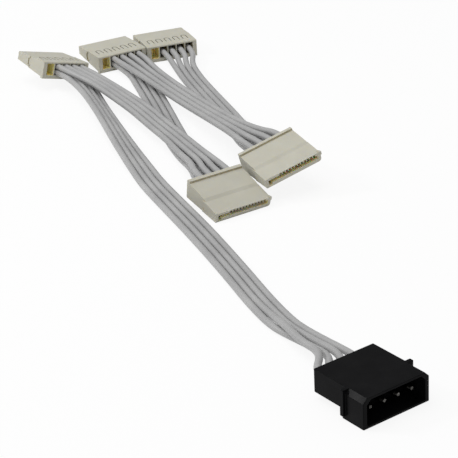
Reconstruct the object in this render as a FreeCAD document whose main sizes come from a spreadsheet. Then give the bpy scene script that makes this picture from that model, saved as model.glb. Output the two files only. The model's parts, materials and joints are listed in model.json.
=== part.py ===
"""Power splitter cable: a four-pin plug and five drive connectors on a chain of flat wire runs.

Row frame: +Z up, the floor at z = 0, the plug's mouth facing -Y, the origin at the middle of
the connectors' footprint. A connector's own frame has its mating face at y = 0, its wire side
at y = housing_length and z = 0 on the face with the latch outlines.
"""
import FreeCAD, Part
import math
import os
import Sketcher

Vector = FreeCAD.Vector
Placement = FreeCAD.Placement
Rotation = FreeCAD.Rotation

WIRES = 4
CELLS = 5
CONTACTS_PER_CELL = 3
EMPTY_CELLS = 1

# Driving dimensions in millimetres, angles in degrees
DIMENSIONS = {
    # Wires
    "wire_diameter": 2.35,
    "row_spacing": 2.4,
    "wire_entry": 3.2,
    "wire_lead": 6.0,
    "plug_entry": 4.0,
    "plug_lead": 4.0,
    # Drive connector housing
    "contact_pitch": 1.27,
    "housing_length": 19.0,
    "block_width": 21.2,
    "block_height": 6.6,
    "step_drop": 0.65,
    "lip_proud": 0.45,
    "lip_length": 1.5,
    "nose_width": 22.8,
    "nose_length": 8.5,
    "nose_height": 4.35,
    "nose_rise": 0.15,
    "step_run": 1.35,
    "nose_roof": 0.25,
    "nose_corner": 1.2,
    "notch_length": 0.9,
    "notch_rise": 1.1,
    "notch_height": 2.7,
    "rear_round": 0.5,
    "cell_width": 3.3,
    "cell_roof": 0.3,
    "cell_floor": 0.7,
    "cell_depth": 5.4,
    "slot_width": 20.6,
    "slot_height": 1.3,
    "slot_floor": 1.2,
    "slot_depth": 6.0,
    "key_width": 1.4,
    "key_drop": 0.7,
    "channel_width": 0.85,
    "channel_height": 0.6,
    "latch_width": 2.4,
    "latch_length": 4.6,
    "latch_margin": 4.0,
    "latch_line": 0.3,
    "latch_depth": 0.3,
    "nib_proud": 0.7,
    "nib_height": 1.7,
    "nib_length": 1.3,
    "nib_rise": 0.2,
    # Stamped contact
    "strip_thickness": 0.25,
    "strip_clearance": 0.1,
    "finger_recess": 1.0,
    "finger_dip": 0.5,
    "dip_run": 1.3,
    "barrel_length": 1.9,
    "barrel_clearance": 0.2,
    # Plug housing
    "plug_length": 22.4,
    "shell_width": 24.2,
    "shell_height": 9.6,
    "shell_length": 8.9,
    "shell_chamfer": 1.5,
    "shell_wall": 0.8,
    "shell_end": 1.4,
    "mouth_depth": 8.2,
    "rear_width": 22.1,
    "rear_rise": 2.1,
    "ear_proud": 0.9,
    "ear_length": 1.4,
    "ear_rise": 1.2,
    "cavity_diameter": 3.4,
    # Plug pin
    "pin_pitch": 5.08,
    "pin_diameter": 2.13,
    "pin_recess": 2.2,
    "pin_taper": 1.0,
    "pin_tip": 1.0,
    "pin_seat": 0.6,
    "pin_clearance": 0.1,
    # Places of the connectors on the floor
    "plug_x": -63.95,
    "plug_y": -153.45,
    "first_x": 8.75,
    "first_y": 132.5,
    "first_yaw": 1.0,
    "first_roll": 16.0,
    "second_x": -14.15,
    "second_y": -18.55,
    "second_yaw": -3.4,
    "second_tilt": 9.9,
    "third_x": 38.25,
    "third_y": 133.0,
    "third_yaw": -8.1,
    "fourth_yaw": -9.5,
    "fourth_roll": -14.2,
    "beside_clearance": 0.3,
    "beside_setback": 2.6,
    "beside_height": 1.0,
    "fifth_yaw": -16.8,
    "fifth_gap": 1.13,
    "fifth_lag": 1.09,
    "lip_gap": 0.25,
}


class Size:
    """A number together with the expression that gives it from the sheet's cells."""

    def __init__(self, value, text):
        self.value = value
        self.text = text

    def joined(self, other, sign, result):
        text = other.text if isinstance(other, Size) else repr(float(other))
        return Size(result, f"({self.text} {sign} {text})")

    def __add__(self, other):
        return self.joined(other, "+", self.value + number(other))

    def __sub__(self, other):
        return self.joined(other, "-", self.value - number(other))

    def __mul__(self, other):
        return self.joined(other, "*", self.value * number(other))

    def __truediv__(self, other):
        return self.joined(other, "/", self.value / number(other))

    def __neg__(self):
        return Size(-self.value, f"(-1 * {self.text})")


def number(size):
    """The plain number of a Size, or of a number as it stands."""
    return size.value if isinstance(size, Size) else float(size)


doc = FreeCAD.newDocument("PowerSplitter")
sheet = doc.addObject("Spreadsheet::Sheet", "Sizes")
for line, (alias, amount) in enumerate(DIMENSIONS.items(), start=1):
    sheet.set(f"A{line}", alias)
    sheet.set(f"B{line}", str(amount))
    sheet.setAlias(f"B{line}", alias)
doc.recompute()
S = {alias: Size(float(sheet.get(alias)), f"Sizes.{alias}") for alias in DIMENSIONS}

# Sizes that several pieces share
cell_pitch = S["contact_pitch"] * CONTACTS_PER_CELL
cell_front = S["housing_length"] - S["cell_depth"]
nose_top = S["nose_rise"] + S["nose_height"]
slot_bottom = S["nose_rise"] + S["slot_floor"]
slot_top = slot_bottom + S["slot_height"]
nose_tip = slot_top + S["channel_height"] + S["nose_roof"]
block_front = nose_top + S["step_drop"]
block_slope = (S["block_height"] - block_front) / (S["housing_length"] - S["nose_length"])
cell_top = S["block_height"] - block_slope * S["cell_depth"] - S["cell_roof"]
cell_middle = (S["cell_floor"] + cell_top) / 2
lip_top = S["block_height"] + S["lip_proud"]
barrel_rear = S["housing_length"] - S["wire_entry"]
pin_axis_height = S["shell_height"] / 2
pin_rear = S["plug_length"] - S["plug_entry"]
ear_start = S["shell_length"] - S["ear_length"]


def cell_x(cell):
    """Middle of a cell across the connector, counted from the keyed end."""
    return cell_pitch * (cell - (CELLS - 1) / 2)


def pin_x(pin):
    """Middle of a pin across the plug."""
    return S["pin_pitch"] * (pin - (WIRES - 1) / 2)


def add_body(label):
    body = doc.addObject("PartDesign::Body", label)
    body.Label = label
    return body


def origin_plane(body, role):
    return next(part for part in body.Origin.OriginFeatures if part.Role == role)


def sketch_on(body, name, role, offset=None):
    """A sketch on one of the body's own planes, moved along the plane's normal by offset."""
    sketch = body.newObject("Sketcher::SketchObject", name)
    sketch.AttachmentSupport = [(origin_plane(body, role), "")]
    sketch.MapMode = "FlatFace"
    if offset is not None:
        sketch.AttachmentOffset = Placement(Vector(0, 0, offset.value), Rotation())
        sketch.setExpression("AttachmentOffset.Base.z", offset.text)
    return sketch


def hold_point(sketch, geometry, position, x, y):
    """Ties one sketch point to the sheet, both ways from the sketch's origin."""
    for axis, size, axis_line in (("X", x, -2), ("Y", y, -1)):
        if number(size) == 0 and not isinstance(size, Size):
            sketch.addConstraint(Sketcher.Constraint("PointOnObject", geometry, position, axis_line))
            continue
        constraint = Sketcher.Constraint(f"Distance{axis}", -1, 1, geometry, position, number(size))
        index = sketch.addConstraint(constraint)
        sketch.setExpression(f"Constraints[{index}]", size.text)


def polygon(body, name, role, corners, offset=None):
    """A closed outline of straight lines with every corner tied to the sheet."""
    sketch = sketch_on(body, name, role, offset)
    count = len(corners)
    flat = [Vector(number(x), number(y), 0) for x, y in corners]
    for i in range(count):
        sketch.addGeometry(Part.LineSegment(flat[i], flat[(i + 1) % count]), False)
    for i in range(count):
        sketch.addConstraint(Sketcher.Constraint("Coincident", i, 2, (i + 1) % count, 1))
    for i, (x, y) in enumerate(corners):
        hold_point(sketch, i, 1, x, y)
    return sketch


def rectangle(body, name, role, low_x, high_x, low_y, high_y, offset=None):
    corners = [(low_x, low_y), (high_x, low_y), (high_x, high_y), (low_x, high_y)]
    return polygon(body, name, role, corners, offset)


def circle(body, name, role, x, y, diameter, offset=None):
    sketch = sketch_on(body, name, role, offset)
    centre = Vector(number(x), number(y), 0)
    sketch.addGeometry(Part.Circle(centre, Vector(0, 0, 1), diameter.value / 2), False)
    hold_point(sketch, 0, 3, x, y)
    index = sketch.addConstraint(Sketcher.Constraint("Diameter", 0, diameter.value))
    sketch.setExpression(f"Constraints[{index}]", diameter.text)
    return sketch


def arch_line(body, name, middle, outer, inner, open_end, closed_end):
    """Outline of an arch of even width on the body's XY plane: two legs and half a ring."""
    sketch = sketch_on(body, name, "XY_Plane")
    crown = closed_end + outer
    legs = (
        ((middle - outer, open_end), (middle - outer, crown)),
        ((middle + outer, crown), (middle + outer, open_end)),
        ((middle + outer, open_end), (middle + inner, open_end)),
        ((middle + inner, open_end), (middle + inner, crown)),
        ((middle - inner, crown), (middle - inner, open_end)),
        ((middle - inner, open_end), (middle - outer, open_end)),
    )
    for ends in legs:
        start, stop = [Vector(x.value, y.value, 0) for x, y in ends]
        sketch.addGeometry(Part.LineSegment(start, stop), False)
    centre = Vector(middle.value, crown.value, 0)
    for radius in (outer, inner):
        ring = Part.Circle(centre, Vector(0, 0, 1), radius.value)
        sketch.addGeometry(Part.ArcOfCircle(ring, math.pi, 2 * math.pi), False)
    joints = ((0, 2, 6, 1), (6, 2, 1, 1), (1, 2, 2, 1), (2, 2, 3, 1), (3, 2, 7, 2), (7, 1, 4, 1),
              (4, 2, 5, 1), (5, 2, 0, 1))
    for joint in joints:
        sketch.addConstraint(Sketcher.Constraint("Coincident", *joint))
    for i, (start, stop) in enumerate(legs):
        hold_point(sketch, i, 1, *start)
    hold_point(sketch, 0, 2, *legs[0][1])
    hold_point(sketch, 3, 2, *legs[3][1])
    for arc in (6, 7):
        index = sketch.addConstraint(Sketcher.Constraint("DistanceY", -1, 1, arc, 3, crown.value))
        sketch.setExpression(f"Constraints[{index}]", crown.text)
    return sketch


def extrude(body, kind, name, sketch, length, side="One side", reversed_way=False):
    feature = body.newObject(f"PartDesign::{kind}", name)
    feature.Profile = sketch
    feature.SideType = side
    feature.Reversed = reversed_way
    feature.Length = length.value
    feature.setExpression("Length", length.text)
    doc.recompute()
    return feature


def pad(body, name, sketch, length, side="One side", reversed_way=False):
    return extrude(body, "Pad", name, sketch, length, side, reversed_way)


def pocket(body, name, sketch, length, reversed_way=False):
    """A cut of the given depth, which has to take material away."""
    before = body.Shape.Volume
    feature = extrude(body, "Pocket", name, sketch, length, "One side", reversed_way)
    if body.Shape.Volume >= before:
        raise ValueError(f"{body.Label}: {name} cuts nothing")
    return feature


def row_of(body, name, feature, sketch, pitch, count):
    """Repeats a feature along its sketch's horizontal direction."""
    pattern = body.newObject("PartDesign::LinearPattern", name)
    pattern.Originals = [feature]
    pattern.Direction = (sketch, ["H_Axis"])
    span = pitch * (count - 1)
    pattern.Length = span.value
    pattern.setExpression("Length", span.text)
    pattern.Occurrences = count
    body.Tip = pattern
    doc.recompute()
    return pattern


def edge_near(shape, point):
    """Name of the edge that passes nearest to a point of the body's own frame."""
    vertex = Part.Vertex(point)
    gaps = [edge.distToShape(vertex)[0] for edge in shape.Edges]
    return f"Edge{gaps.index(min(gaps)) + 1}"


def round_edges(body, name, points, radius):
    base = body.Tip
    feature = body.newObject("PartDesign::Fillet", name)
    feature.Base = (base, [edge_near(base.Shape, point) for point in points])
    feature.Radius = radius.value
    feature.setExpression("Radius", radius.text)
    doc.recompute()
    return feature


def drive_housing(label, placement):
    """Moulded housing: wedge-shaped wire block with a lip, and a wider flat nose with the slot."""
    body = add_body(label)
    length = S["housing_length"]
    half_nose = S["nose_width"] / 2
    step_foot = S["nose_length"] - S["step_run"]
    nose = polygon(body, f"{label}_nose_side", "YZ_Plane", [
        (0, S["nose_rise"]),
        (S["nose_length"], S["nose_rise"]),
        (S["nose_length"], nose_top),
        (step_foot, nose_top),
        (0, nose_tip),
    ])
    pad(body, f"{label}_nose", nose, S["nose_width"], side="Symmetric")

    round_edges(body, f"{label}_nose_corner", [
        Vector(half_nose.value, S["nose_length"].value / 2, S["nose_rise"].value),
    ], S["nose_corner"])

    block = polygon(body, f"{label}_block_side", "YZ_Plane", [
        (S["nose_length"], 0),
        (length, 0),
        (length, S["block_height"]),
        (S["nose_length"], block_front),
        (step_foot, nose_top),
        (step_foot, S["nose_rise"]),
        (S["nose_length"], S["nose_rise"]),
    ])
    pad(body, f"{label}_block", block, S["block_width"], side="Symmetric")

    half_lip = S["block_width"] / 2 + S["lip_proud"]
    lip = rectangle(body, f"{label}_lip_face", "XZ_Plane", -half_lip, half_lip, 0, lip_top, offset=-length)
    pad(body, f"{label}_lip", lip, S["lip_length"])

    nib_top = nose_tip + S["nib_rise"]
    nib = rectangle(body, f"{label}_nib_face", "XZ_Plane", half_nose - S["nib_proud"],
                    half_nose + S["nib_proud"], nib_top - S["nib_height"], nib_top)
    pad(body, f"{label}_nib", nib, S["nib_length"], reversed_way=True)

    round_edges(body, f"{label}_rear_edge", [Vector(0, length.value, 0)], S["rear_round"])

    # Notch in the nose's shoulder on the keyed side
    notch = rectangle(body, f"{label}_notch_face", "XZ_Plane", -half_nose, -S["block_width"] / 2,
                      S["notch_rise"], S["notch_rise"] + S["notch_height"], offset=-S["nose_length"])
    pocket(body, f"{label}_notch", notch, S["notch_length"], reversed_way=True)

    # The keyed end of the slot drops towards the latch face
    half_slot = S["slot_width"] / 2
    slot = polygon(body, f"{label}_slot_face", "XZ_Plane", [
        (-half_slot, slot_bottom - S["key_drop"]),
        (S["key_width"] - half_slot, slot_bottom - S["key_drop"]),
        (S["key_width"] - half_slot, slot_bottom),
        (half_slot, slot_bottom),
        (half_slot, slot_top),
        (-half_slot, slot_top),
    ])
    pocket(body, f"{label}_slot", slot, S["slot_depth"])

    half_cell = S["cell_width"] / 2
    cell = rectangle(body, f"{label}_cell_face", "XZ_Plane", cell_x(0) - half_cell, cell_x(0) + half_cell,
                     S["cell_floor"], cell_top, offset=-length)
    first_cell = pocket(body, f"{label}_cell", cell, S["cell_depth"], reversed_way=True)
    row_of(body, f"{label}_cells", first_cell, cell, cell_pitch, CELLS)

    # One channel for each contact finger, open to the slot below and to the cell behind
    first_x = cell_x(EMPTY_CELLS) - S["contact_pitch"]
    half_channel = S["channel_width"] / 2
    channel = rectangle(body, f"{label}_channel_face", "XZ_Plane", first_x - half_channel,
                        first_x + half_channel, slot_top, slot_top + S["channel_height"])
    first_channel = pocket(body, f"{label}_channel", channel, cell_front)
    row_of(body, f"{label}_channels", first_channel, channel, S["contact_pitch"], WIRES * CONTACTS_PER_CELL)

    # Arch-shaped outline of the latch tongue over each cell
    open_end = length - S["latch_margin"]
    closed_end = open_end - S["latch_length"]
    outer = S["latch_width"] / 2
    inner = outer - S["latch_line"]
    middle = cell_x(0)
    arch = arch_line(body, f"{label}_latch_line", middle, outer, inner, open_end, closed_end)
    first_arch = pocket(body, f"{label}_latch", arch, S["latch_depth"], reversed_way=True)
    row_of(body, f"{label}_latches", first_arch, arch, cell_pitch, CELLS)
    body.Placement = placement
    return body


def drive_contact(label, cell, placement):
    """Stamped contact: a strip slit into three dipped fingers, with a crimp barrel behind."""
    body = add_body(label)
    thick = S["strip_thickness"]
    strip_top = slot_top + S["channel_height"] - S["strip_clearance"]
    strip_bottom = strip_top - thick
    tip = S["finger_recess"]
    dip = tip + S["dip_run"]
    rise = dip + S["dip_run"]
    strip_end = barrel_rear - S["barrel_length"] / 2
    side = polygon(body, f"{label}_strip_side", "YZ_Plane", [
        (tip, strip_bottom - S["finger_dip"] / 4),
        (dip, strip_bottom - S["finger_dip"]),
        (rise, strip_bottom),
        (strip_end, strip_bottom),
        (strip_end, strip_top),
        (rise, strip_top),
        (dip, strip_top - S["finger_dip"]),
        (tip, strip_top - S["finger_dip"] / 4),
    ])
    finger_width = S["channel_width"] - S["strip_clearance"] * 2
    strip_width = S["contact_pitch"] * (CONTACTS_PER_CELL - 1) + finger_width
    pad(body, f"{label}_strip", side, strip_width, side="Symmetric")

    half_slit = (S["contact_pitch"] - finger_width) / 2
    slit_x = -S["contact_pitch"] / 2
    slit_end = cell_front + S["strip_clearance"] * 2
    slit = rectangle(body, f"{label}_slit_plan", "XY_Plane", slit_x - half_slit, slit_x + half_slit, 0, slit_end)
    first_slit = pocket(body, f"{label}_slit", slit, nose_top, reversed_way=True)
    row_of(body, f"{label}_slits", first_slit, slit, S["contact_pitch"], CONTACTS_PER_CELL - 1)

    half_barrel = S["cell_width"] / 2 - S["barrel_clearance"]
    barrel = rectangle(body, f"{label}_barrel_face", "XZ_Plane", -half_barrel, half_barrel,
                       S["cell_floor"] + S["barrel_clearance"],
                       cell_top - S["barrel_clearance"], offset=-barrel_rear)
    pad(body, f"{label}_barrel", barrel, S["barrel_length"])
    body.Placement = placement.multiply(Placement(Vector(cell_x(cell).value, 0, 0), Rotation()))
    return body


def plug_housing(label, placement):
    """Moulded plug: a chamfered shell round the pins, two side ears and a slimmer rear body."""
    body = add_body(label)
    half_shell = S["shell_width"] / 2
    chamfer_foot = S["shell_height"] - S["shell_chamfer"]
    shell = polygon(body, f"{label}_shell_face", "XZ_Plane", [
        (-half_shell, 0),
        (half_shell, 0),
        (half_shell, chamfer_foot),
        (half_shell - S["shell_chamfer"], S["shell_height"]),
        (S["shell_chamfer"] - half_shell, S["shell_height"]),
        (-half_shell, chamfer_foot),
    ])
    pad(body, f"{label}_shell", shell, S["shell_length"], reversed_way=True)

    half_ears = half_shell + S["ear_proud"]
    ears = rectangle(body, f"{label}_ear_face", "XZ_Plane", -half_ears, half_ears, S["ear_rise"],
                     S["shell_height"], offset=-ear_start)
    pad(body, f"{label}_ears", ears, S["ear_length"], reversed_way=True)

    half_rear = S["rear_width"] / 2
    rear = rectangle(body, f"{label}_rear_face", "XZ_Plane", -half_rear, half_rear, S["rear_rise"],
                     S["shell_height"], offset=-S["plug_length"])
    pad(body, f"{label}_rear", rear, S["plug_length"] - S["shell_length"])

    half_mouth = half_shell - S["shell_end"]
    mouth_top = S["shell_height"] - S["shell_wall"]
    mouth_foot = mouth_top - S["shell_chamfer"]
    mouth = polygon(body, f"{label}_mouth_face", "XZ_Plane", [
        (-half_mouth, S["shell_wall"]),
        (half_mouth, S["shell_wall"]),
        (half_mouth, mouth_foot),
        (half_mouth - S["shell_chamfer"], mouth_top),
        (S["shell_chamfer"] - half_mouth, mouth_top),
        (-half_mouth, mouth_foot),
    ])
    pocket(body, f"{label}_mouth", mouth, S["mouth_depth"])

    cavity = circle(body, f"{label}_cavity_face", "XZ_Plane", pin_x(0), pin_axis_height,
                    S["cavity_diameter"], offset=-S["plug_length"])
    first_cavity = pocket(body, f"{label}_cavity", cavity, S["plug_length"] - S["mouth_depth"], reversed_way=True)
    row_of(body, f"{label}_cavities", first_cavity, cavity, S["pin_pitch"], WIRES)
    body.Placement = placement
    return body


def plug_pin(label, pin, placement):
    """Turned-looking pin: a tapered tip, a straight shank and the crimp barrel in its cavity."""
    body = add_body(label)
    shank = S["pin_diameter"] / 2
    barrel = S["cavity_diameter"] / 2 - S["pin_clearance"]
    seat = S["mouth_depth"] + S["pin_seat"]
    profile = polygon(body, f"{label}_half", "XY_Plane", [
        (0, S["pin_recess"]),
        (S["pin_tip"] / 2, S["pin_recess"]),
        (shank, S["pin_recess"] + S["pin_taper"]),
        (shank, seat),
        (barrel, seat),
        (barrel, pin_rear),
        (0, pin_rear),
    ])
    turn = body.newObject("PartDesign::Revolution", f"{label}_turned")
    turn.Profile = profile
    turn.ReferenceAxis = (profile, ["V_Axis"])
    turn.Angle = 360
    doc.recompute()
    place = Placement(Vector(pin_x(pin).value, 0, pin_axis_height.value), Rotation())
    body.Placement = placement.multiply(place)
    return body


def turned(yaw, tilt=0.0, roll=0.0):
    rotation = Rotation(Vector(0, 0, 1), yaw)
    rotation = rotation.multiply(Rotation(Vector(1, 0, 0), tilt))
    return rotation.multiply(Rotation(Vector(0, 1, 0), roll))


def latch_face_up(rear_place):
    """A connector that lies on its lip with the latch face up and its wires towards -Y."""
    flip = Placement(Vector(0, S["housing_length"].value, lip_top.value), Rotation(Vector(1, 0, 0), 180))
    return rear_place.multiply(flip)


def first_rear():
    """The first connector stands on the right edge of its lip, its left side lifted by the wires."""
    roll = S["first_roll"].value
    half_lip = (S["block_width"] / 2 + S["lip_proud"]).value
    base = Vector(S["first_x"].value, S["first_y"].value, half_lip * math.sin(math.radians(roll)))
    return Placement(base, turned(S["first_yaw"].value, roll=roll))


def third_rear():
    """The third connector lies flat on its lip, given by the middle of its wire side."""
    return Placement(Vector(S["third_x"].value, S["third_y"].value, 0), turned(S["third_yaw"].value))


def fifth_rear():
    """The fifth connector's nose lies beside the third one's nose, and its lip clears the third's."""
    shoulder = S["housing_length"] - S["nose_length"]
    beside = S["nose_width"] / 2 + S["fifth_gap"]
    target = third_rear().multVec(Vector(beside.value, (shoulder - S["fifth_lag"]).value, 0))
    rotation = turned(S["fifth_yaw"].value)
    place = Placement(target - rotation.multVec(Vector(-S["nose_width"].value / 2, shoulder.value, 0)), rotation)
    half_lip = (S["block_width"] / 2 + S["lip_proud"]).value
    lip_corner = place.inverse().multVec(third_rear().multVec(Vector(half_lip, 0, 0)))
    push = max(0.0, lip_corner.x + half_lip + S["lip_gap"].value)
    return place.multiply(Placement(Vector(push, 0, 0), Rotation()))


def second_place():
    """The second connector stands on the lower front edge of its nose, its wire side lifted."""
    tilt = S["second_tilt"].value
    height = -S["nose_rise"].value * math.cos(math.radians(tilt))
    base = Vector(S["second_x"].value, S["second_y"].value, height)
    return Placement(base, turned(S["second_yaw"].value, tilt))


def fourth_place():
    """The fourth connector leans beside the second, its lower nose corner just clear of it."""
    half_nose = S["nose_width"].value / 2
    corner = second_place().multVec(Vector(
        half_nose + S["beside_clearance"].value,
        S["beside_setback"].value,
        nose_top.value + S["beside_height"].value,
    ))
    rotation = turned(S["fourth_yaw"].value, roll=S["fourth_roll"].value)
    return Placement(corner - rotation.multVec(Vector(-half_nose, 0, S["nose_rise"].value)), rotation)


PLUG = Placement(Vector(S["plug_x"].value, S["plug_y"].value, 0), Rotation())
DRIVES = {
    1: latch_face_up(first_rear()),
    2: second_place(),
    3: latch_face_up(third_rear()),
    4: fourth_place(),
    5: latch_face_up(fifth_rear()),
}

# Rows of wires in a cell: against the latch face, against the lip face, or alone in the middle
ROW_SIDES = {"latch": -0.5, "lip": 0.5, "middle": 0.0}

# Middle line of each run between its connectors: x, y, z, spacing of the wires and their roll
RUNS = {
    1: {
        "ends": ((1, "lip"), ("plug", None)),
        "stations": [
            (7.7, 112.8, 4.0, 2.5, -22),
            (3.1, 98.8, 3.1, 2.42, -30),
            (-3.1, 81.9, 3.0, 2.42, -28),
            (-9.5, 64.5, 2.5, 2.42, -20),
            (-14.9, 49.1, 2.0, 2.42, -12),
            (-19.7, 34.8, 1.5, 2.42, -4),
            (-23.9, 22.3, 1.25, 2.45, 0),
            (-29.1, 2.3, 1.25, 2.5, 0),
            (-34.3, -18.2, 1.25, 2.55, 0),
            (-39.9, -38.2, 1.25, 2.5, 0),
            (-45.7, -57.7, 1.25, 2.45, 0),
            (-51.5, -76.2, 1.25, 2.45, 0),
            (-55.3, -91.0, 1.3, 2.45, 0),
            (-56.4, -99.0, 1.4, 2.5, 0),
            (-57.3, -107.0, 2.1, 2.8, 0),
            (-59.5, -115.5, 3.7, 3.0, 0),
        ],
    },
    2: {
        "ends": ((1, "latch"), (2, "lip")),
        "stations": [
            (13.2, 111.8, 6.0, 2.55, -10),
            (12.3, 96.3, 5.0, 2.45, -5),
            (10.6, 79.3, 4.3, 2.42, 0),
            (6.8, 62.3, 4.1, 2.42, 0),
            (3.1, 45.3, 4.4, 2.42, 0),
            (-1.2, 29.3, 5.2, 2.5, 0),
            (-5.7, 15.8, 6.9, 2.8, 0),
        ],
    },
    3: {
        "ends": ((2, "latch"), (3, "lip")),
        "stations": [
            (-5.6, 16.0, 4.1, 2.8, 0),
            (-0.7, 31.0, 2.0, 2.5, 0),
            (4.9, 46.0, 1.6, 2.42, 0),
            (11.7, 61.5, 1.5, 2.42, 0),
            (19.1, 77.5, 1.3, 2.42, 0),
            (25.7, 92.5, 1.3, 2.42, 0),
            (31.5, 106.5, 1.5, 2.45, 0),
            (36.0, 117.0, 2.0, 2.9, 0),
        ],
    },
    4: {
        "ends": ((3, "latch"), (4, "lip")),
        "stations": [
            (36.5, 114.3, 5.0, 2.9, 0),
            (33.3, 97.5, 4.9, 2.6, 0),
            (30.3, 79.5, 4.9, 2.55, 0),
            (27.3, 62.0, 5.4, 2.55, 0),
            (23.5, 45.0, 6.9, 2.55, 0),
            (19.3, 29.0, 9.1, 2.7, 3),
            (15.7, 15.8, 11.2, 3.2, 8),
        ],
    },
    5: {
        "ends": ((4, "latch"), (5, "middle")),
        "stations": [
            (17.1, 15.9, 8.4, 3.2, 8),
            (23.0, 29.0, 5.7, 2.6, 3),
            (28.9, 43.0, 3.4, 2.42, 0),
            (35.1, 57.0, 2.0, 2.42, 0),
            (40.7, 72.5, 1.4, 2.42, 0),
            (45.7, 87.0, 1.3, 2.42, 0),
            (49.9, 99.5, 1.6, 2.45, 0),
            (54.3, 110.5, 2.5, 2.9, 0),
        ],
    },
}

# Wires that leave their place in a run: the run, the station and the wire give its slot and its lift.
# In the first run the second wire crosses over the first; in the second one the first wire sags.
SHIFTS = {
    1: {
        13: {0: (-1.5, 0.0), 1: (-0.5, 1.1)},
        14: {0: (-1.25, 0.0), 1: (-0.8, 2.7)},
        15: {0: (-0.7, -0.8), 1: (-1.25, 2.1)},
        16: {0: (-0.5, -0.6), 1: (-1.5, 0.9)},
    },
    2: {
        6: {0: (-1.65, -0.55)},
        7: {0: (-1.6, -0.05)},
    },
}
PLUG_ORDER = (1, 0, 2, 3)


def end_points(end, wire):
    """A wire's last two points at a connector: its end in the barrel and where it comes straight out."""
    name, row = end
    if name == "plug":
        x = pin_x(PLUG_ORDER[wire]).value
        z = pin_axis_height.value
        outer = S["plug_length"].value + S["plug_lead"].value
        return [PLUG.multVec(Vector(x, y, z)) for y in (pin_rear.value, outer)]
    x = cell_x(wire + EMPTY_CELLS).value
    z = cell_middle.value + ROW_SIDES[row] * S["row_spacing"].value
    outer = S["housing_length"].value + S["wire_lead"].value
    return [DRIVES[name].multVec(Vector(x, y, z)) for y in (barrel_rear.value, outer)]


def side_direction(before, after, roll):
    """Level direction across a run, towards +X, turned up by the roll."""
    along = after - before
    along.z = 0
    along.normalize()
    if along.y < 0:
        along = along * -1
    across = Vector(along.y, -along.x, 0)
    return across * math.cos(math.radians(roll)) + Vector(0, 0, math.sin(math.radians(roll)))


def wire_route(run, wire):
    """The route of one wire of a run: its ends, and the run's stations moved sideways."""
    start, finish = RUNS[run]["ends"]
    stations = RUNS[run]["stations"]
    leads = []
    for end in (start, finish):
        outer = [end_points(end, each)[1] for each in range(WIRES)]
        leads.append(sum(outer, Vector()) * (1 / WIRES))
    line = [leads[0]] + [Vector(*station[:3]) for station in stations] + [leads[1]]
    route = end_points(start, wire)
    for i, (_, _, _, spacing, roll) in enumerate(stations, start=1):
        slot, lift = wire - (WIRES - 1) / 2, 0.0
        slot, lift = SHIFTS.get(run, {}).get(i, {}).get(wire, (slot, lift))
        across = side_direction(line[i - 1], line[i + 1], roll)
        route.append(line[i] + across * (slot * spacing) + Vector(0, 0, lift))
    return route + end_points(finish, wire)[::-1]


ARC_SHARE = 0.45


def rounded_path(route):
    """Straight runs joined by tangent arcs, each as large as its two runs allow."""
    edges = []
    radii = []
    here = route[0]
    for before, corner, after in zip(route, route[1:], route[2:]):
        back = before - corner
        ahead = after - corner
        cut = ARC_SHARE * min(back.Length, ahead.Length)
        back.normalize()
        ahead.normalize()
        half_turn = (math.pi - back.getAngle(ahead)) / 2
        radius = cut / math.tan(half_turn)
        inward = back + ahead
        inward.normalize()
        first = corner + back * cut
        last = corner + ahead * cut
        middle = corner + inward * (radius / math.cos(half_turn) - radius)
        edges.append(Part.LineSegment(here, first).toShape())
        edges.append(Part.Arc(first, middle, last).toShape())
        radii.append(radius)
        here = last
    edges.append(Part.LineSegment(here, route[-1]).toShape())
    return Part.Wire(edges), radii


def wire_tube(label, run, wire):
    route = wire_route(run, wire)
    path, radii = rounded_path(route)
    radius = S["wire_diameter"].value / 2
    section = Part.Wire(Part.Circle(route[0], route[1] - route[0], radius).toShape())
    shape = path.makePipeShell([section], True, False)
    expected = math.pi * radius ** 2 * path.Length
    if abs(shape.Volume - expected) > expected / 1000:
        raise ValueError(f"{label}: volume {shape.Volume:.2f} is not {expected:.2f}")
    tube = doc.addObject("Part::Feature", label)
    tube.Label = label
    tube.Shape = shape
    print(f"{label}: length {path.Length:.1f}, smallest radius {min(radii):.1f}")
    return tube


pieces = [plug_housing("plug_housing", PLUG)]
for pin in range(WIRES):
    pieces.append(plug_pin(f"plug_pin_{pin + 1}", pin, PLUG))
for drive, place in DRIVES.items():
    pieces.append(drive_housing(f"connector_{drive}_housing", place))
    for contact in range(WIRES):
        label = f"connector_{drive}_contact_{contact + 1}"
        pieces.append(drive_contact(label, contact + EMPTY_CELLS, place))
for run in RUNS:
    for wire in range(WIRES):
        pieces.append(wire_tube(f"run_{run}_wire_{wire + 1}", run, wire))
doc.recompute()

for thing in doc.Objects:
    if {"Invalid", "Error"} & set(thing.State):
        raise ValueError(f"{thing.Label} failed to build")
for piece in pieces:
    if piece.Shape.isNull() or not piece.Shape.isValid() or len(piece.Shape.Solids) != 1:
        raise ValueError(f"{piece.Label} is not one valid solid")

os.makedirs("parts", exist_ok=True)
for piece in pieces:
    piece.Shape.exportStep(f"parts/{piece.Label}.step")
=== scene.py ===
"""The power splitter cable as photographed: lying on white, seen from above the plug's left."""

import json
import math

import bmesh
import bpy
from mathutils import Matrix, Vector


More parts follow.
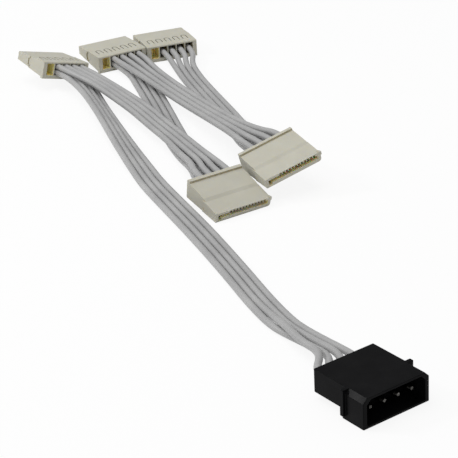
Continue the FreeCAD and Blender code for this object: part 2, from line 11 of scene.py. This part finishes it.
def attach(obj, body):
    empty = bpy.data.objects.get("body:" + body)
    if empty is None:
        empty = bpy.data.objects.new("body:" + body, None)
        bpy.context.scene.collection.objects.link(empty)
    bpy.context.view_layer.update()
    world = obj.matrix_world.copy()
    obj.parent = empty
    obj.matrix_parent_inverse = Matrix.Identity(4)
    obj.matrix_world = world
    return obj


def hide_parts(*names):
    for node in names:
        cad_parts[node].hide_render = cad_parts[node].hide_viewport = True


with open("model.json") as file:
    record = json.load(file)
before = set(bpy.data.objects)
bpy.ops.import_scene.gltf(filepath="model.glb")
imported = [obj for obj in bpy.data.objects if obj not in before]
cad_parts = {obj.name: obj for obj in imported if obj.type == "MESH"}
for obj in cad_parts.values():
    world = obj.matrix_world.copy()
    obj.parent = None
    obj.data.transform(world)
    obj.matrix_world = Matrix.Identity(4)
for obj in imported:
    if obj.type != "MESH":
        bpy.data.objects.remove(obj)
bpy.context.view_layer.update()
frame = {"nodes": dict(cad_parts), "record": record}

# The wires, in metres
WIRES = 4
WIRE_DIAMETER = 0.00235
ROW_SPACING = 0.0024
CELL_PITCH = 0.00381
CELL_MIDDLE = 0.003127
BARREL_REAR = 0.0158
HOUSING_LENGTH = 0.019
WIRE_LEAD = 0.006
PIN_PITCH = 0.00508
PIN_HEIGHT = 0.0048
PIN_REAR = 0.0184
PLUG_LENGTH = 0.0224
PLUG_LEAD = 0.004
PLUG_ORDER = (1, 0, 2, 3)

# Rows of wires in a connector: against the latch face, against the lip face, or alone
ROW_SIDES = {"latch": -0.5, "lip": 0.5, "middle": 0.0}


def place(x, y, z, yaw=0, tilt=0, roll=0):
    """Where a connector lies: the middle of its mating face, then its turns in degrees."""
    axes = ((yaw, "Z"), (tilt, "X"), (roll, "Y"))
    turns = [Matrix.Rotation(math.radians(angle), 4, axis) for angle, axis in axes]
    return Matrix.Translation((x, y, z)) @ turns[0] @ turns[1] @ turns[2]


PLUG = place(-0.06395, -0.15345, 0)
DRIVES = {
    1: place(0.010361, 0.151531, 0.009823, yaw=1.0, tilt=180, roll=-16),
    2: place(-0.01415, -0.01855, -0.000148, yaw=-3.4, tilt=9.9),
    3: place(0.040927, 0.15181, 0.00705, yaw=-8.1, tilt=180),
    4: place(0.008562, -0.019461, 0.008368, yaw=-9.5, roll=-14.2),
    5: place(0.065351, 0.145393, 0.00705, yaw=-16.8, tilt=180),
}

# Middle line of each run between its connectors: x, y, z, spacing of the wires, and roll in
# degrees. The last points of runs 1, 3 and 5 are moved from those of the part's source,
# to follow the photo.
RUNS = {
    1: {
        "ends": ((1, "lip"), ("plug", None)),
        "stations": [
            (0.0077, 0.1128, 0.004, 0.0025, -22),
            (0.0031, 0.0988, 0.0031, 0.00242, -30),
            (-0.0031, 0.0819, 0.003, 0.00242, -28),
            (-0.0095, 0.0645, 0.0025, 0.00242, -20),
            (-0.0149, 0.0491, 0.002, 0.00242, -12),
            (-0.0197, 0.0348, 0.0015, 0.00242, -4),
            (-0.0239, 0.0223, 0.00125, 0.00245, 0),
            (-0.0291, 0.0023, 0.00125, 0.0025, 0),
            (-0.0343, -0.0182, 0.00125, 0.00255, 0),
            (-0.0399, -0.0382, 0.00125, 0.0025, 0),
            (-0.0457, -0.0577, 0.00125, 0.00245, 0),
            (-0.0515, -0.0762, 0.00125, 0.00245, 0),
            (-0.0553, -0.0910, 0.0013, 0.00245, 0),
            (-0.0564, -0.0985, 0.0014, 0.0025, 0),
            (-0.0575, -0.1085, 0.0024, 0.00245, 0),
            (-0.0592, -0.1210, 0.0044, 0.0025, 0),
        ],
    },
    2: {
        "ends": ((1, "latch"), (2, "lip")),
        "stations": [
            (0.0132, 0.1118, 0.006, 0.00255, -10),
            (0.0123, 0.0963, 0.005, 0.00245, -5),
            (0.0106, 0.0793, 0.0043, 0.00242, 0),
            (0.0068, 0.0623, 0.0041, 0.00242, 0),
            (0.0031, 0.0453, 0.0044, 0.00242, 0),
            (-0.0012, 0.0293, 0.0052, 0.0025, 0),
            (-0.0057, 0.0158, 0.0069, 0.0028, 0),
        ],
    },
    3: {
        "ends": ((2, "latch"), (3, "lip")),
        "stations": [
            (-0.0056, 0.0160, 0.0041, 0.0028, 0),
            (-0.0007, 0.0310, 0.002, 0.0025, 0),
            (0.0049, 0.0460, 0.0016, 0.00242, 0),
            (0.0117, 0.0615, 0.0015, 0.00242, 0),
            (0.0191, 0.0775, 0.0013, 0.00242, 0),
            (0.0257, 0.0925, 0.0013, 0.00242, 0),
            (0.0315, 0.1065, 0.0015, 0.00245, 0),
            (0.0360, 0.1170, 0.002, 0.0026, 0),
        ],
    },
    4: {
        "ends": ((3, "latch"), (4, "lip")),
        "stations": [
            (0.0365, 0.1143, 0.005, 0.0029, 0),
            (0.0333, 0.0975, 0.0049, 0.0026, 0),
            (0.0303, 0.0795, 0.0049, 0.00255, 0),
            (0.0273, 0.0620, 0.0054, 0.00255, 0),
            (0.0235, 0.0450, 0.0069, 0.00255, 0),
            (0.0193, 0.0290, 0.0091, 0.0027, 3),
            (0.0157, 0.0158, 0.0112, 0.0032, 8),
        ],
    },
    5: {
        "ends": ((4, "latch"), (5, "middle")),
        "stations": [
            (0.0171, 0.0159, 0.0084, 0.0032, 8),
            (0.0230, 0.0290, 0.0057, 0.0026, 3),
            (0.0289, 0.0430, 0.0034, 0.00242, 0),
            (0.0351, 0.0570, 0.002, 0.00242, 0),
            (0.0407, 0.0725, 0.0014, 0.00242, 0),
            (0.0457, 0.0870, 0.0013, 0.00242, 0),
            (0.0499, 0.0995, 0.0016, 0.00242, 0),
            (0.0551, 0.1130, 0.0027, 0.0025, 0),
        ],
    },
}

# Wires that leave their place in a run: the run, the station and the wire give its slot
# and its lift. In the first run the second wire crosses over the first; in the second one
# the first wire sags.
SHIFTS = {
    1: {
        13: {0: (-1.46, 0.0), 1: (-0.62, 0.0015)},
        14: {0: (-1.0, 0.0), 1: (-1.0, 0.0029)},
        15: {0: (-0.5, -0.0005), 1: (-1.45, 0.0014)},
        16: {0: (-0.5, -0.0006), 1: (-1.5, 0.0009)},
    },
    2: {
        6: {0: (-1.65, -0.00055)},
        7: {0: (-1.6, -0.00005)},
    },
}


def end_points(end, wire):
    """A wire's last points at a connector: in its barrel, at the rear, and straight out of it."""
    name, row = end
    if name == "plug":
        x = PIN_PITCH * (PLUG_ORDER[wire] - (WIRES - 1) / 2)
        depths = (PIN_REAR, PLUG_LENGTH, PLUG_LENGTH + PLUG_LEAD)
        return [PLUG @ Vector((x, y, PIN_HEIGHT)) for y in depths]
    x = CELL_PITCH * (wire - 1)
    z = CELL_MIDDLE + ROW_SIDES[row] * ROW_SPACING
    depths = (BARREL_REAR, HOUSING_LENGTH, HOUSING_LENGTH + WIRE_LEAD)
    return [DRIVES[name] @ Vector((x, y, z)) for y in depths]


def side_direction(before, after, roll):
    """Level direction across a run, towards +X, turned up by the roll."""
    along = (after - before).to_2d().normalized()
    if along.y < 0:
        along = -along
    roll = math.radians(roll)
    return Vector((along.y * math.cos(roll), -along.x * math.cos(roll), math.sin(roll)))


def wire_route(run, wire):
    """The route of one wire of a run: its ends, and the run's stations moved sideways."""
    start, finish = RUNS[run]["ends"]
    stations = RUNS[run]["stations"]
    leads = []
    for end in (start, finish):
        outer = [end_points(end, each)[-1] for each in range(WIRES)]
        leads.append(sum(outer, Vector()) / WIRES)
    line = [leads[0]] + [Vector(station[:3]) for station in stations] + [leads[1]]
    inside, _, outside = end_points(start, wire)
    route = [inside, outside]
    for i, (_, _, _, spacing, roll) in enumerate(stations, start=1):
        slot, lift = wire - (WIRES - 1) / 2, 0.0
        slot, lift = SHIFTS.get(run, {}).get(i, {}).get(wire, (slot, lift))
        across = side_direction(line[i - 1], line[i + 1], roll)
        route.append(line[i] + across * (slot * spacing) + Vector((0, 0, lift)))
    inside, _, outside = end_points(finish, wire)
    return route + [outside, inside]


def principled(name):
    """A new material and the parts of its tree that the recipes below use."""
    material = bpy.data.materials.new(name)
    material.use_nodes = True
    tree = material.node_tree
    return material, tree, tree.nodes["Principled BSDF"]


def speckle(tree, scale, detail=3.0):
    """Noise by place in the piece's own coordinates."""
    coordinates = tree.nodes.new("ShaderNodeTexCoord")
    noise = tree.nodes.new("ShaderNodeTexNoise")
    noise.inputs["Scale"].default_value = scale
    noise.inputs["Detail"].default_value = detail
    tree.links.new(coordinates.outputs["Object"], noise.inputs["Vector"])
    return noise.outputs["Fac"]


# Where noise starts and stops running from its low to its high value
NOISE_LOW = 0.3
NOISE_HIGH = 0.7


def between(tree, factor, low, high):
    """A colour that runs from low to high with the factor."""
    ramp = tree.nodes.new("ShaderNodeValToRGB")
    ramp.color_ramp.elements[0].position = NOISE_LOW
    ramp.color_ramp.elements[1].position = NOISE_HIGH
    ramp.color_ramp.elements[0].color = (*low, 1)
    ramp.color_ramp.elements[1].color = (*high, 1)
    tree.links.new(factor, ramp.inputs["Fac"])
    return ramp.outputs["Color"]


def span(tree, factor, low, high):
    """A value that runs from low to high with the factor."""
    spread = tree.nodes.new("ShaderNodeMapRange")
    spread.inputs["From Min"].default_value = NOISE_LOW
    spread.inputs["From Max"].default_value = NOISE_HIGH
    spread.inputs["To Min"].default_value = low
    spread.inputs["To Max"].default_value = high
    tree.links.new(factor, spread.inputs["Value"])
    return spread.outputs["Result"]


def grain(tree, shader, factor, distance):
    """A fine surface grain of the given depth in metres."""
    bump = tree.nodes.new("ShaderNodeBump")
    bump.inputs["Strength"].default_value = 0.6
    bump.inputs["Distance"].default_value = distance
    tree.links.new(factor, bump.inputs["Height"])
    tree.links.new(bump.outputs["Normal"], shader.inputs["Normal"])


def with_painted_shade(tree, colour, distance, stops, only_local=False):
    """The colour tinted and darkened by painted shade in corners and pockets, by how much they
    see of what is round them.
    """
    shelter = tree.nodes.new("ShaderNodeAmbientOcclusion")
    shelter.samples = 8
    shelter.only_local = only_local
    shelter.inputs["Distance"].default_value = distance
    ramp = tree.nodes.new("ShaderNodeValToRGB")
    while len(ramp.color_ramp.elements) < len(stops):
        ramp.color_ramp.elements.new(0.5)
    for element, (position, tint) in zip(ramp.color_ramp.elements, stops):
        element.position = position
        element.color = (*tint, 1)
    tree.links.new(shelter.outputs["AO"], ramp.inputs["Fac"])
    mix = tree.nodes.new("ShaderNodeMix")
    mix.data_type = "RGBA"
    mix.blend_type = "MULTIPLY"
    mix.inputs["Factor"].default_value = 1.0
    tree.links.new(colour, mix.inputs["A"])
    tree.links.new(ramp.outputs["Color"], mix.inputs["B"])
    return mix.outputs["Result"]


def ivory_plastic(name, low, high, shade, translucence):
    """Moulded nylon between two tones, with painted shade in its corners and pockets."""
    material, tree, shader = principled(name)
    cloud = speckle(tree, scale=140)
    fine = speckle(tree, scale=2600)
    face = between(tree, cloud, low, high)
    # Painted shade: the colour darkens and warms where the piece sees little of its surroundings
    painted_shaded = with_painted_shade(tree, face, distance=0.004, stops=shade, only_local=True)
    tree.links.new(painted_shaded, shader.inputs["Base Color"])
    tree.links.new(span(tree, cloud, 0.38, 0.5), shader.inputs["Roughness"])
    shader.inputs["Specular IOR Level"].default_value = 0.12
    shader.inputs["Subsurface Weight"].default_value = translucence
    shader.inputs["Subsurface Radius"].default_value = (1.0, 0.75, 0.35)
    shader.inputs["Subsurface Scale"].default_value = 0.002
    grain(tree, shader, fine, distance=0.000012)
    return material


def black_plastic():
    """The plug's black moulding with a soft, dull sheen."""
    material, tree, shader = principled("plug_plastic")
    cloud = speckle(tree, scale=180)
    fine = speckle(tree, scale=3200)
    face = between(tree, cloud, (0.004, 0.004, 0.0045), (0.007, 0.007, 0.0075))
    tree.links.new(face, shader.inputs["Base Color"])
    tree.links.new(span(tree, cloud, 0.28, 0.36), shader.inputs["Roughness"])
    shader.inputs["Specular IOR Level"].default_value = 0.035
    grain(tree, shader, fine, distance=0.00001)
    return material


def wire_insulation():
    """Pale grey insulation with a dull sheen and slight handling marks."""
    material, tree, shader = principled("wire_insulation")
    cloud = speckle(tree, scale=90)
    fine = speckle(tree, scale=1500)
    face = between(tree, cloud, (0.38, 0.38, 0.38), (0.44, 0.44, 0.437))
    tree.links.new(face, shader.inputs["Base Color"])
    tree.links.new(span(tree, cloud, 0.4, 0.52), shader.inputs["Roughness"])
    grain(tree, shader, fine, distance=0.000004)
    return material


def tinned_metal():
    """Dull tin plating on the contacts and pins, with painted shade where it lies deep in a
    housing.
    """
    material, tree, shader = principled("contact_metal")
    cloud = speckle(tree, scale=900)
    plating = between(tree, cloud, (0.30, 0.29, 0.275), (0.40, 0.385, 0.36))
    # Painted shade: the plating turns nearly black wherever it sees little of its surroundings
    stops = [(0.1, (0.02, 0.02, 0.02)), (0.8, (0.06, 0.06, 0.058)), (0.98, (1.0, 1.0, 1.0))]
    painted_shaded = with_painted_shade(tree, plating, distance=0.008, stops=stops)
    tree.links.new(painted_shaded, shader.inputs["Base Color"])
    tree.links.new(span(tree, cloud, 0.28, 0.42), shader.inputs["Roughness"])
    shader.inputs["Metallic"].default_value = 1.0
    return material


# Painted shade for corners and pockets, from those that see nothing round them to those in the
# open
FACE_SHADE = [
    (0.0, (0.05, 0.035, 0.012)),
    (0.1, (0.5, 0.38, 0.16)),
    (0.5, (0.85, 0.77, 0.58)),
    (0.85, (1, 1, 1)),
]
CELL_SHADE = [(0.0, (0.3, 0.22, 0.1)), (0.12, (1, 1, 1))]
SLOT_SHADE = [(0.0, (0.2, 0.15, 0.07)), (0.12, (1, 1, 1))]
GROOVE_SHADE = [(0.0, (0.5, 0.5, 0.5)), (0.5, (1, 1, 1))]

MATERIALS = {
    "drive_plastic": ivory_plastic("drive_plastic", (0.52, 0.505, 0.427), (0.55, 0.535, 0.457),
                                   FACE_SHADE, translucence=0.12),
    "plug_plastic": black_plastic(),
    "wire_insulation": wire_insulation(),
    "contact_metal": tinned_metal(),
}

# The empty cell and the slot let light through their thin walls, and their lighter, yellower
# colour is a painted glow of it; the lines round the latches are painted dark as shade in their
# grooves
CELL_PAINTED_GLOW = ivory_plastic("drive_cell_painted_glow", (0.93, 0.79, 0.39), (0.98, 0.85, 0.45),
                             CELL_SHADE, translucence=0.8)
SLOT_PAINTED_GLOW = ivory_plastic("drive_slot_painted_glow", (0.84, 0.78, 0.56), (0.90, 0.84, 0.61),
                             SLOT_SHADE, translucence=0.8)
# Painted shade: the latch lines are coloured dark brown for the shade in their narrow grooves
GROOVE_PAINTED_SHADE = ivory_plastic("drive_groove_painted_shade", (0.14, 0.12, 0.075), (0.19, 0.165, 0.105),
                               GROOVE_SHADE, translucence=0.0)

# Regions of a housing in its own frame: the material, then the least and greatest x, y and z
REGIONS = (
    (CELL_PAINTED_GLOW, (-0.0093, 0.01355, 0.00069), (-0.0059, 0.01899, 0.00557)),
    (SLOT_PAINTED_GLOW, (-0.01031, 0.00001, 0.00064), (0.01031, 0.00601, 0.00266)),
    (GROOVE_PAINTED_SHADE, (-0.0093, 0.0103, 0.00001), (0.0093, 0.0151, 0.00031)),
)

# A housing's half widths, its nib's tip, and how far that narrows about its middle in y and z
BLOCK_HALF = 0.0106
LIP_HALF = 0.01105
NIB_END = 0.0121
NIB_MIDDLE = (0.00065, 0.00285)
NIB_TAPER = 0.55

# Points nearer than WELD are one, and a point within NEAR of a plane is on it. Edges turn
# sharp in shading at CREASE, and are rounded from SHARP on.
WELD = 0.000002
NEAR = 0.00001
SHARP = math.radians(35)
CREASE = math.radians(15)
EDGE_ROUNDS = {"drive_plastic": 0.00012, "plug_plastic": 0.0002}


def soften_edges(obj, width):
    """Moulded corners catch the light: a narrow bevel on the node's sharp edges."""
    weld = obj.modifiers.new("weld", "WELD")
    weld.merge_threshold = WELD
    bevel = obj.modifiers.new("edge_round", "BEVEL")
    bevel.width = width
    bevel.segments = 2
    bevel.limit_method = "ANGLE"
    bevel.angle_limit = SHARP
    bevel.harden_normals = True


def moulded_housing(name, drive):
    """The housing with its block's sides level with the lip, and with a tapered nib."""
    node = frame["nodes"][name]
    to_drive = drive.inverted() @ node.matrix_world
    to_mesh = to_drive.inverted()
    shape = bmesh.new()
    shape.from_mesh(node.data)
    bmesh.ops.remove_doubles(shape, verts=shape.verts, dist=WELD)
    for vertex in shape.verts:
        spot = to_drive @ vertex.co
        if abs(abs(spot.x) - BLOCK_HALF) < NEAR:
            spot.x = math.copysign(LIP_HALF, spot.x)
        elif spot.x > NIB_END - NEAR:
            spot.y = NIB_MIDDLE[0] + NIB_TAPER * (spot.y - NIB_MIDDLE[0])
            spot.z = NIB_MIDDLE[1] + NIB_TAPER * (spot.z - NIB_MIDDLE[1])
        vertex.co = to_mesh @ spot
    bmesh.ops.dissolve_degenerate(shape, dist=WELD, edges=shape.edges)
    bmesh.ops.recalc_face_normals(shape, faces=shape.faces)
    for edge in shape.edges:
        edge.smooth = edge.calc_face_angle(math.pi) < CREASE
    for face in shape.faces:
        face.smooth = True
        middle = to_drive @ face.calc_center_median()
        # The empty cell and the slot take the painted glow, and the latch lines the painted shade
        for index, (_, low, high) in enumerate(REGIONS, start=1):
            if all(low[i] < middle[i] < high[i] for i in range(3)):
                face.material_index = index
    mesh = bpy.data.meshes.new(f"{name}_moulding")
    shape.to_mesh(mesh)
    shape.free()
    if mesh.has_custom_normals:
        mesh.attributes.remove(mesh.attributes["custom_normal"])
    for material in (MATERIALS["drive_plastic"], *(region[0] for region in REGIONS)):
        mesh.materials.append(material)
    obj = bpy.data.objects.new(f"{name}_moulding", mesh)
    obj.matrix_world = node.matrix_world
    bpy.context.scene.collection.objects.link(obj)
    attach(obj, "root")
    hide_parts(name)
    soften_edges(obj, EDGE_ROUNDS["drive_plastic"])


def finish_node(name, slot):
    """A CAD node that stays: its material, and softened edges where it is moulded."""
    obj = frame["nodes"][name]
    obj.data.materials.clear()
    obj.data.materials.append(MATERIALS[slot])
    if slot in EDGE_ROUNDS:
        soften_edges(obj, EDGE_ROUNDS[slot])


def lay_wire(run, wire):
    """One wire as a smooth tube on its route."""
    name = f"run_{run}_wire_{wire + 1}"
    route = wire_route(run, wire)
    curve = bpy.data.curves.new(f"{name}_line", "CURVE")
    curve.dimensions = "3D"
    curve.bevel_depth = WIRE_DIAMETER / 2
    curve.bevel_resolution = 4
    curve.resolution_u = 8
    curve.use_fill_caps = True
    spline = curve.splines.new("NURBS")
    spline.points.add(len(route) - 1)
    for point, position in zip(spline.points, route):
        point.co = (*position, 1)
    spline.order_u = 3
    spline.use_endpoint_u = True
    curve.materials.append(MATERIALS["wire_insulation"])
    obj = bpy.data.objects.new(f"{name}_insulation", curve)
    bpy.context.scene.collection.objects.link(obj)
    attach(obj, "root")
    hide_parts(name)


for subpart in frame["record"]["subparts"]:
    if subpart["material_slot"] in ("plug_plastic", "contact_metal"):
        finish_node(subpart["node"], subpart["material_slot"])
for number, drive in DRIVES.items():
    moulded_housing(f"connector_{number}_housing", drive)
for run in RUNS:
    for wire in range(WIRES):
        lay_wire(run, wire)


# The floor, and how much of it the camera and reflections see as plain white
FLOOR_SIZE = 20.0
FLOOR_COLOUR = (0.92, 0.92, 0.92, 1)
FLOOR_WHITENESS = 0.88


def white_floor():
    """A floor seen as nearly white, with a faint shadow left under the cable."""
    bpy.ops.mesh.primitive_plane_add(size=FLOOR_SIZE, location=(0, 0, 0))
    floor = bpy.context.object
    floor.name = "floor"
    material, tree, shader = principled("floor_white")
    shader.inputs["Base Color"].default_value = FLOOR_COLOUR
    shader.inputs["Roughness"].default_value = 0.8
    paths = tree.nodes.new("ShaderNodeLightPath")
    seen = None
    for kind in ("Is Camera Ray", "Is Glossy Ray", "Is Transmission Ray"):
        larger = tree.nodes.new("ShaderNodeMath")
        larger.operation = "MAXIMUM"
        larger.inputs[0].default_value = 0.0
        tree.links.new(paths.outputs[kind], larger.inputs[1])
        if seen is not None:
            tree.links.new(seen, larger.inputs[0])
        seen = larger.outputs[0]
    share = tree.nodes.new("ShaderNodeMath")
    share.operation = "MULTIPLY"
    share.inputs[1].default_value = FLOOR_WHITENESS
    tree.links.new(seen, share.inputs[0])
    glow = tree.nodes.new("ShaderNodeEmission")
    mix = tree.nodes.new("ShaderNodeMixShader")
    tree.links.new(share.outputs[0], mix.inputs["Fac"])
    tree.links.new(shader.outputs["BSDF"], mix.inputs[1])
    tree.links.new(glow.outputs["Emission"], mix.inputs[2])
    tree.links.new(mix.outputs["Shader"], tree.nodes["Material Output"].inputs["Surface"])
    floor.data.materials.append(material)


def soft_light(name, location, size, power):
    """A square area light aimed at the middle of the cable."""
    data = bpy.data.lights.new(name, "AREA")
    data.shape = "SQUARE"
    data.size = size
    data.energy = power
    light = bpy.data.objects.new(name, data)
    light.location = location
    light.rotation_euler = (-Vector(location)).to_track_quat("-Z", "Y").to_euler()
    bpy.context.scene.collection.objects.link(light)


def world_light(strength):
    """Even white light from all round."""
    world = bpy.data.worlds.new("white_surround")
    world.use_nodes = True
    background = world.node_tree.nodes["Background"]
    background.inputs["Color"].default_value = (1, 1, 1, 1)
    background.inputs["Strength"].default_value = strength
    bpy.context.scene.world = world


# The photo's camera: its place in metres, heading from +Y towards +X, dip and roll in degrees
CAMERA_PLACE = Vector((-0.35053, -0.47621, 0.26097))
CAMERA_HEADING = 35.80
CAMERA_DIP = 25.13
CAMERA_ROLL = 3.0
CAMERA_LENS = 142.1
CAMERA_SENSOR = 36.0
CAMERA_CLIP = 0.01


def photo_camera():
    """The camera that took the photo, as fitted to it."""
    data = bpy.data.cameras.new("photo_camera")
    data.lens = CAMERA_LENS
    data.sensor_width = CAMERA_SENSOR
    data.clip_start = CAMERA_CLIP
    heading, dip, roll = (math.radians(a) for a in (CAMERA_HEADING, CAMERA_DIP, CAMERA_ROLL))
    ahead = Vector((
        math.sin(heading) * math.cos(dip),
        math.cos(heading) * math.cos(dip),
        -math.sin(dip),
    ))
    level = ahead.cross(Vector((0, 0, 1))).normalized()
    above = level.cross(ahead)
    right = level * math.cos(roll) - above * math.sin(roll)
    up = level * math.sin(roll) + above * math.cos(roll)
    camera = bpy.data.objects.new("photo_camera", data)
    turn = Matrix((right, up, -ahead)).transposed().to_4x4()
    camera.matrix_world = Matrix.Translation(CAMERA_PLACE) @ turn
    bpy.context.scene.collection.objects.link(camera)
    bpy.context.scene.camera = camera


white_floor()
soft_light("key", location=(-0.2, 0.1, 1.1), size=0.9, power=6.6)
soft_light("back", location=(-0.624, 0.554, 0.627), size=0.16, power=2.6)
world_light(strength=0.4)
photo_camera()
bpy.context.scene.view_settings.view_transform = "Standard"
